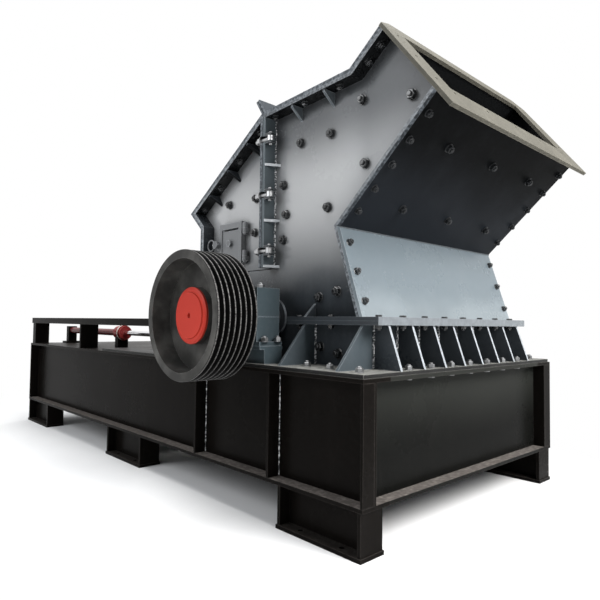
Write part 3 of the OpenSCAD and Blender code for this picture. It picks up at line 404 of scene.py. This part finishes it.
def weld_finish():
    """Bright bare beads between dark spatter."""
    metal = Finish("weld_metal")
    bare = metal.noise(95.0, detail=2.0).ramp(0.47, 0.6)
    metal.feed("Base Color", metal.blend(bare, rgb((0.04, 0.044, 0.048)), rgb((0.72, 0.73, 0.74))))
    metal.feed("Roughness", 0.5 - 0.15 * bare)
    metal.feed("Specular IOR Level", 0.3)
    return metal.material


def bare_metal(name, colour, rough, metallic=1.0):
    """Machined or drawn steel with fine scratches and darker stains."""
    metal = Finish(name)
    grain = metal.noise(420.0, detail=2.0)
    stain = metal.noise(9.0, detail=4.0).ramp(0.45, 0.75)
    metal.feed("Base Color", metal.blend(0.5 * stain, rgb(colour), rgb(colour, 0.55)))
    metal.feed("Metallic", metallic)
    metal.feed("Roughness", (rough + 0.16 * stain + 0.08 * grain).clip())
    metal.feed("Normal", metal.bump(grain, 0.06, 0.001))
    return metal.material


SHAFT = (low("hub_cap") + high("hub_cap")) / 2
PULLEY_RADIUS = (high("pulley").z - low("pulley").z) / 2000
GROOVE_DEPTH = 0.035
RIDGE_FOOT, RIDGE_TOP = PULLEY_RADIUS - 0.0015, PULLEY_RADIUS - 0.0002
GROOVE_FOOT = PULLEY_RADIUS - GROOVE_DEPTH


def pulley_finish():
    """Black paint with painted shade in the grooves, and ridges between them that the belts rub bright."""
    paint = Finish("pulley_black")
    out = paint.vector("SUBTRACT", paint.place(), tuple(placed(*SHAFT)))
    radius = paint.length(paint.vector("MULTIPLY", out, (1.0, 0.0, 1.0)))
    speck = paint.noise(120.0).ramp(0.35, 0.6)
    ridge = radius.ramp(RIDGE_FOOT, RIDGE_TOP) * (0.06 + 0.26 * speck)
    bright = ridge.larger(0.45 * paint.edges(0.004).ramp(0.05, 0.25) * speck)
    # Painted shade: the grooves turn near black
    flank = (paint.facing("Y") * paint.facing("Y")).ramp(0.98, 0.9)
    groove = flank * radius.ramp(GROOVE_FOOT - 0.004, GROOVE_FOOT + 0.003)
    dirt = paint.noise(5.0, detail=4.0).ramp(0.4, 0.75)
    tone = paint.blend(dirt, rgb((0.028, 0.0275, 0.026)), rgb((0.080, 0.078, 0.073)))
    tone = paint.blend(groove, tone, rgb((0.003, 0.003, 0.003)))
    paint.feed("Base Color", paint.blend(bright, tone, rgb((0.38, 0.375, 0.365))))
    paint.feed("Metallic", 0.8 * bright)
    paint.feed("Roughness", (0.32 + 0.14 * dirt).clip())
    paint.feed("Specular IOR Level", 0.07)
    paint.feed("Normal", paint.bump(paint.noise(140.0, detail=2.0), 0.10, 0.002))
    return paint.material


weld_metal = weld_finish()
nut_metal = bare_metal("nut_metal", (0.27, 0.275, 0.28), 0.36)
clamp_steel = bare_metal("clamp_steel", (0.40, 0.405, 0.41), 0.3)

SLOT_FINISH = {
    "housing_paint": housing_paint, "base_paint": base_paint, "flange_paint": flange_paint,
    "cap_red": cap_red, "cylinder_red": cylinder_red, "pulley_black": pulley_finish(),
    "steel": bare_metal("machined_steel", (0.30, 0.30, 0.31), 0.32),
    "chrome_rod": bare_metal("chrome_rod", (0.78, 0.78, 0.80), 0.08),
    "rotor_iron": bare_metal("rotor_iron", (0.16, 0.135, 0.12), 0.55, 0.7),
}
NODE_FINISH = {
    "base_beams": beam_paint, "base_end_walls": end_wall_paint, "body_flange": dusty_paint,
    "front_side_plates": side_paint, "rear_side_plates": rear_side_paint, "front_wall": wall_paint,
    "chute_underside": underside_paint, "front_gussets": gusset_paint, "front_split_flange": parting_paint,
    "skirt_ribs": rib_paint, "skirt_gussets": side_gusset_paint, "skirt_ledge": ledge_paint,
    "front_ledge": ledge_paint, "seal_covers": rib_paint, "bearing_blocks": bearing_paint,
    "bearing_pedestals": bearing_paint, "clamp_lugs": lug_paint, "clamp_nuts": clamp_steel,
    "swing_bolts": clamp_steel, "door": door_paint, "door_frame": door_paint, "door_latch": latch_paint,
    "cylinder_heads": head_red,
}
slot_of = {entry["node"]: entry["material_slot"] for entry in frame["record"]["subparts"]}
for name, thing in nodes.items():
    thing.data.materials.clear()
    thing.data.materials.append(NODE_FINISH.get(name) or SLOT_FINISH[slot_of[name]])


# Bolts, nuts and welds


def skin(made, rings):
    """Closes rings of points into one solid."""
    count = len(rings[0])
    for lower, upper in zip(rings, rings[1:]):
        for k in range(count):
            after = (k + 1) % count
            made.faces.new((lower[k], lower[after], upper[after], upper[k]))
    made.faces.new(rings[0][::-1])
    made.faces.new(rings[-1])


def ring(made, pose, radius, height, sides):
    """Points round the Z of a pose."""
    turns = [2 * math.pi * k / sides for k in range(sides)]
    points = [Vector((radius * math.cos(turn), radius * math.sin(turn), height)) for turn in turns]
    return [made.verts.new(pose @ point) for point in points]


def aimed(place, axis):
    """A pose at a place with its Z along an axis."""
    return Matrix.Translation(place) @ axis.to_track_quat("Z", "Y").to_matrix().to_4x4()


# Outlines of bolt ends as (radius, height), in shares of the thread, with how many sides they have
WASHER = [(1.05, 0.0), (1.05, 0.13), (0.98, 0.16)]
NUT = [(0.86, 0.16), (0.92, 0.24), (0.92, 0.88), (0.80, 1.0)]
THREAD_END = [(0.5, 1.0), (0.5, 1.28), (0.38, 1.38)]
LOW_HEAD = [(0.88, 0.0), (0.92, 0.04), (0.92, 0.42), (0.8, 0.5)]
NUT_END = ((WASHER, 20), (NUT, 6), (THREAD_END, 12))
HEAD_END = ((LOW_HEAD, 6),)
BOLT_TURN = math.radians(37)


def bolt(made, place, axis, thread, spin, outlines):
    """One end of a bolt with a thread size in metres."""
    pose = aimed(place, axis) @ Matrix.Rotation(spin, 4, "Z")
    for outline, sides in outlines:
        skin(made, [ring(made, pose, radius * thread, height * thread, sides)
                    for radius, height in outline])


RIPPLE = 0.011
BEAD_LEAST, BEAD_SWELL = 0.8, 0.35
SHUFFLE_TURN, SHUFFLE_SPREAD = 12.9898, 43758.5453


def weld(made, start, end, size):
    """A rippled bead from start to end, with swells that are shuffled the same way each time."""
    run = end - start
    pose = aimed(start, run)
    steps = max(2, int(run.length / RIPPLE))
    rings = []
    for i in range(steps + 1):
        swell = BEAD_LEAST + BEAD_SWELL * ((math.sin(i * SHUFFLE_TURN) * SHUFFLE_SPREAD) % 1.0)
        rings.append(ring(made, pose, size * swell, run.length * i / steps, 6))
    skin(made, rings)


def fit(name, made, body, finish):
    """Turns the built mesh into a piece that rides on a body."""
    thing = bpy.data.objects.new(name, bpy.data.meshes.new(name))
    made.to_mesh(thing.data)
    made.free()
    thing.data.materials.append(finish)
    bpy.context.scene.collection.objects.link(thing)
    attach(thing, body)


def bolts(name, body, thread, nuts, finish=bolt_paint, heads=()):
    """One joined piece of like bolts, from the (place, axis) pairs of nuts and of low heads."""
    made = bmesh.new()
    for ends, outlines in ((nuts, NUT_END), (heads, HEAD_END)):
        for count, (place, axis) in enumerate(ends):
            bolt(made, place, axis, thread, BOLT_TURN * count, outlines)
    fit(name, made, body, finish)


def welds(name, body, size, runs, finish=weld_metal):
    """One joined piece of weld beads, from (start, end) pairs."""
    made = bmesh.new()
    for start, end in runs:
        weld(made, start, end, size)
    fit(name, made, body, finish)


def height_at(edge, x):
    """The height of a slanting outline edge at a distance along the machine."""
    (x0, z0), (x1, z1) = edge
    return z0 + (z1 - z0) * (x - x0) / (x1 - x0)


def square_to(edge, side):
    """The direction square to an outline edge, over or under it."""
    (x0, z0), (x1, z1) = edge
    return Vector((z1 - z0, 0.0, x0 - x1)).normalized() * side


# The outline of the housing, as (x, z) corners on the outer faces
HEEL = (-350, low("chute_underside").z)
LIP = (high("chute_underside").x, 2135)
FRONT_FOOT = (high("front_wall").x, low("front_wall").z)
ROOF_Z = 2385
ROOF_SPLIT = (low("front_split_flange").x, ROOF_Z)
ROOF_KINK = (low("chute_back").x, 2420)
PEAK = (-95, high("chute_back").z)
REAR_TIP = (low("rear_roof").x, high("rear_return").z)
REAR_SPLIT = (high("rear_roof").x, ROOF_Z)
CHUTE, WALL = (HEEL, LIP), (HEEL, FRONT_FOOT)
FRONT_ROOF, CHUTE_BACK, REAR_ROOF = (ROOF_SPLIT, ROOF_KINK), (ROOF_KINK, PEAK), (REAR_TIP, REAR_SPLIT)
OVER, UNDER = -1, 1

# Heights of plates in the drawing's millimetres, and the ways that bolts face
LEDGE_TOP, LEDGE_FOOT = high("front_ledge").z, low("skirt_ledge").z
FLANGE_TOP = high("body_flange").z
STIFFENER_FOOT, BEAM_FLANGE_FOOT = low("base_stiffeners").z, high("base_stiffeners").z
SIDES = (-1, 1)
UP, DOWN = Vector((0, 0, 1)), Vector((0, 0, -1))

# Thread sizes, and the thickness that an edge bolt holds, in metres
LINER_THREAD, CHUTE_THREAD, EDGE_THREAD = 0.028, 0.024, 0.020
FLANGE_THREAD, BEARING_THREAD = 0.022, 0.024
COVER_AND_STRIP = 0.038

# Liner bolts through the side plates and the chute
front_liner = [
    (-747, 2147), (-501, 2144), (-270, 2271), (49, 2201), (-249, 1921), (-521, 1727), (-899, 1919),
    (-873, 1734), (-901, 1581), (-444, 1249), (-585, 1220), (-570, 940), (-432, 908),
]
rear_liner = [(-1463, 1880), (-1169, 1879), (-1180, 1657)]
chute_liner = [(x, y) for x in (-210, 85) for y in (-443, 20, 484)]


def on_sides(places):
    """Places on both side plates, from (x, z) pairs."""
    return [(placed(x, side * SIDE_Y, z), Vector((0, side, 0))) for side in SIDES for x, z in places]


def on_plate(edge, side, places):
    """Places over or under a slanting cover plate, from (x, y) pairs."""
    return [(placed(x, y, height_at(edge, x)), square_to(edge, side)) for x, y in places]


bolts("liner_bolts_front", "base", LINER_THREAD, on_sides(front_liner))
bolts("liner_bolts_rear", "rear_housing", LINER_THREAD, on_sides(rear_liner))
chute_places = on_plate(CHUTE, UNDER, chute_liner)
bolts("chute_bolts", "base", CHUTE_THREAD, chute_places, chute_bolt_paint)


# Bolts through the edge strips


def along_strips(lengths):
    """Places (x, y) on the edge strips of both sides."""
    return [(x, side * STRIP_Y) for side in SIDES for x in lengths]


def through(edge, side, lengths):
    """Nuts on a cover plate and inside its edge strips, along both sides of the machine."""
    outer = on_plate(edge, side, along_strips(lengths))
    return outer + [(place - out * COVER_AND_STRIP, -out) for place, out in outer]


UPSTAND_RISE, UPSTAND_THICK = 50, 13
UPSTAND_BOLT_Y = (-670, 0, 670)
roof_face = square_to(REAR_ROOF, OVER)
slope = Vector((roof_face.z, 0.0, -roof_face.x))


def on_upstand(split, out):
    """Places half way up an upstand across the roof, on its outer face."""
    place = Vector((split[0], 0, split[1])) + UPSTAND_RISE * roof_face + UPSTAND_THICK * out
    return [(placed(place.x, y, place.z), out) for y in UPSTAND_BOLT_Y]


ROOF_BOLT_X, CHUTE_BACK_BOLT_X, WALL_BOLT_X = (-943, -679, -404), (-225, -145), (-322, -269, -216)
CHUTE_BOLT_X, REAR_BOLT_X = (167, 60, -46, -155, -263), (-1113, -1328, -1547, -1740)
front_edges = through(FRONT_ROOF, OVER, ROOF_BOLT_X) + through(CHUTE_BACK, OVER, CHUTE_BACK_BOLT_X)
front_edges += on_plate(WALL, OVER, along_strips(WALL_BOLT_X))
chute_edges = through(CHUTE, UNDER, CHUTE_BOLT_X)
rear_edges = through(REAR_ROOF, OVER, REAR_BOLT_X) + on_upstand(REAR_SPLIT, -slope)
bolts("edge_bolts_front", "base", EDGE_THREAD, front_edges)
bolts("chute_edge_bolts", "base", EDGE_THREAD, chute_edges, chute_bolt_paint)
bolts("edge_bolts_rear", "rear_housing", EDGE_THREAD, rear_edges)
bolts("upstand_bolts", "base", EDGE_THREAD, on_upstand(ROOF_SPLIT, slope))

# Bolts of the ledge, the body flange and the bearings
RIBS, RIB_HALF = 8, 8
RIB_REACH = high("skirt_ribs").y - RIB_HALF
RIB_PITCH = 2 * RIB_REACH / (RIBS - 1)
rib_y = [RIB_PITCH * i - RIB_REACH for i in range(RIBS)]
LEDGE_BOLT_X, LEDGE_BOLT_LAG, SIDE_LEDGE_BOLT_X = -120, 52, (-700, -450)
ledge_places = [(LEDGE_BOLT_X, y - LEDGE_BOLT_LAG) for y in rib_y] + along_strips(SIDE_LEDGE_BOLT_X)
ledge_heads = [(placed(x, y, LEDGE_TOP), UP) for x, y in ledge_places]
ledge_nuts = [(placed(x, y, LEDGE_FOOT), DOWN) for x, y in ledge_places]
bolts("ledge_bolts", "base", EDGE_THREAD, ledge_nuts, heads=ledge_heads)

FLANGE_BOLT_X = -48
side_flange = ((-694, 864), (-519, 865), (-324, 891), (-106, 916))
end_flange = [(FLANGE_BOLT_X, y + RIB_PITCH / 2) for y in rib_y[:-1]]
flange_places = [(x, side * y) for side in SIDES for x, y in side_flange] + end_flange
flange_nuts = [(placed(x, y, FLANGE_TOP), UP) for x, y in flange_places]
flange_heads = [(placed(x, y, BEAM_FLANGE_FOOT), DOWN) for x, y in end_flange]
bolts("body_flange_bolts", "base", FLANGE_THREAD, flange_nuts, nut_metal, flange_heads)

BEARING_Y, BEARING_FOOT = 922, 24
BEARING_TOP, FOOT_TOP = high("bearing_blocks").z, low("bearing_blocks").z + BEARING_FOOT
CAP_BOLT_X, FOOT_BOLT_X, FOOT_BOLT_Y = 125, 224, 48
bearing_bolts = []
for side in SIDES:
    for end in SIDES:
        bearing_bolts.append((placed(SHAFT.x + end * CAP_BOLT_X, side * BEARING_Y, BEARING_TOP), UP))
        for y in (-FOOT_BOLT_Y, FOOT_BOLT_Y):
            bearing_bolts.append((placed(SHAFT.x + end * FOOT_BOLT_X, side * BEARING_Y + y, FOOT_TOP), UP))
bolts("bearing_bolts", "base", BEARING_THREAD, bearing_bolts, nut_metal)

# Weld beads
GUSSET_T, STIFFENER_T = 16, 16
WEB_Y, MID_GUSSET_X = 930, -629
SPLIT_FOOT = low("front_split_flange").z
FRONT_FLANGE_X, REAR_FLANGE_X = high("front_split_flange").x, low("rear_split_flange").x
FRONT_BEAD_TOP, REAR_BEAD_TOP = 2340, 2322
BEAD, FINE_BEAD = 0.009, 0.005
gusset_x = (FRONT_FOOT[0] - GUSSET_T, MID_GUSSET_X, low("skirt_gussets").x)
stiffener_x = (-680, -1400)


def upright(x, y, foot, top):
    """The start and end of a bead that runs straight up."""
    return placed(x, y, foot), placed(x, y, top)


front_beads = [upright(FRONT_FLANGE_X, side * SIDE_Y, SPLIT_FOOT, FRONT_BEAD_TOP) for side in SIDES]
rear_beads = [upright(REAR_FLANGE_X, side * SIDE_Y, SPLIT_FOOT, REAR_BEAD_TOP) for side in SIDES]
stiffener_beads = []
for side in SIDES:
    front_beads += [upright(FRONT_FOOT[0], y + side * RIB_HALF, FLANGE_TOP, LEDGE_FOOT) for y in rib_y]
    for x in gusset_x:
        front_beads += [upright(root, side * SIDE_Y, FLANGE_TOP, LEDGE_FOOT) for root in (x, x + GUSSET_T)]
    for x in stiffener_x:
        stiffener_beads += [upright(root, side * WEB_Y, STIFFENER_FOOT, BEAM_FLANGE_FOOT)
                            for root in (x, x + STIFFENER_T)]
heel_bead = (placed(HEEL[0], -PLATE_Y, HEEL[1]), placed(HEEL[0], PLATE_Y, HEEL[1]))
welds("weld_beads_front", "base", BEAD, front_beads)
welds("weld_beads_rear", "rear_housing", BEAD, rear_beads)
welds("weld_beads_base", "base", FINE_BEAD, stiffener_beads)
welds("weld_bead_heel", "base", FINE_BEAD, [heel_bead], seam_paint)


# Studio

WHITE = (1.0, 1.0, 1.0, 1.0)
FLOOR_HALF = 60.0
FLOOR_DARK, FLOOR_LIGHT = (0.80, 0.80, 0.80), (0.84, 0.84, 0.84)
SHADOW_REACH, SHADOW_FADE = (2.5, 1.25), (1.0, 1.9)


def studio_floor():
    """A pale floor that keeps the shadow near the machine and runs out into white."""
    floor = bpy.data.objects.new("floor", bpy.data.meshes.new("floor"))
    made = bmesh.new()
    bmesh.ops.create_grid(made, x_segments=1, y_segments=1, size=FLOOR_HALF)
    made.to_mesh(floor.data)
    made.free()
    bpy.context.scene.collection.objects.link(floor)
    pale = Finish("floor_pale")
    pale.feed("Base Color", pale.blend(pale.noise(3.0), rgb(FLOOR_DARK), rgb(FLOOR_LIGHT)))
    pale.feed("Roughness", 0.7)
    squeeze = (1 / SHADOW_REACH[0], 1 / SHADOW_REACH[1], 0.0)
    away = pale.length(pale.vector("MULTIPLY", pale.place(), squeeze))
    white = pale.node("ShaderNodeEmission", {}, {"Color": WHITE, "Strength": 1.0})
    faded = pale.node("ShaderNodeMixShader", {}, {0: pale.background_rays() * away.ramp(*SHADOW_FADE),
                                                 1: Val(pale, pale.shader.outputs[0]), 2: white})
    pale.plug(faded, pale.tree.nodes["Material Output"].inputs["Surface"])
    floor.data.materials.append(pale.material)


def studio_sky():
    """Soft light all round, behind a background that is seen as white."""
    world = bpy.data.worlds.new("studio")
    bpy.context.scene.world = world
    world.use_nodes = True
    sky = Nodes(world.node_tree)
    soft = sky.node("ShaderNodeBackground", {}, {"Color": (0.94, 0.97, 1.0, 1.0), "Strength": 0.4})
    white = sky.node("ShaderNodeBackground", {}, {"Color": WHITE, "Strength": 1.0})
    seen = sky.node("ShaderNodeMixShader", {}, {0: sky.background_rays(), 1: soft, 2: white})
    sky.plug(seen, sky.tree.nodes["World Output"].inputs["Surface"])


def lamp(name, place, target, size, power, colour=(1.0, 1.0, 1.0)):
    """A round soft lamp at a place that shines on a target."""
    data = bpy.data.lights.new(name, "AREA")
    data.shape = "DISK"
    data.size = size
    data.energy = power
    data.color = colour
    thing = bpy.data.objects.new(name, data)
    thing.location = place
    thing.rotation_euler = (Vector(target) - Vector(place)).to_track_quat("-Z", "Y").to_euler()
    bpy.context.scene.collection.objects.link(thing)


studio_floor()
studio_sky()
lamp("key", (7.0, 0.5, 5.0), (1.5, 0.2, 1.3), size=4.0, power=1000, colour=(1.0, 0.99, 0.98))
lamp("fill", (-1.0, -7.0, 5.0), (0.5, 0.0, 1.2), size=5.0, power=300, colour=(0.95, 0.97, 1.0))
lamp("back", (-5.0, 6.0, 5.0), (0.0, 0.0, 1.2), size=5.0, power=300)
lamp("top", (0.5, 0.0, 7.0), (0.5, 0.0, 0.0), size=6.0, power=420)

# Camera
SENSOR, PICTURE, FOCAL_PIXELS = 36.0, 600.0, 541.35
EYE = (3.765, -2.7185, 1.074)
HEADING, TILT, ROLL = math.radians(46.907), math.radians(92.39), math.radians(0.725)
camera = bpy.data.objects.new("camera", bpy.data.cameras.new("camera"))
camera.data.sensor_width = SENSOR
camera.data.lens = SENSOR * FOCAL_PIXELS / PICTURE
aim = Matrix.Rotation(HEADING, 4, "Z") @ Matrix.Rotation(TILT, 4, "X") @ Matrix.Rotation(ROLL, 4, "Z")
camera.matrix_world = Matrix.Translation(EYE) @ aim
bpy.context.scene.collection.objects.link(camera)
bpy.context.scene.camera = camera
bpy.context.scene.view_settings.view_transform = "Standard"

bpy.context.view_layer.update()
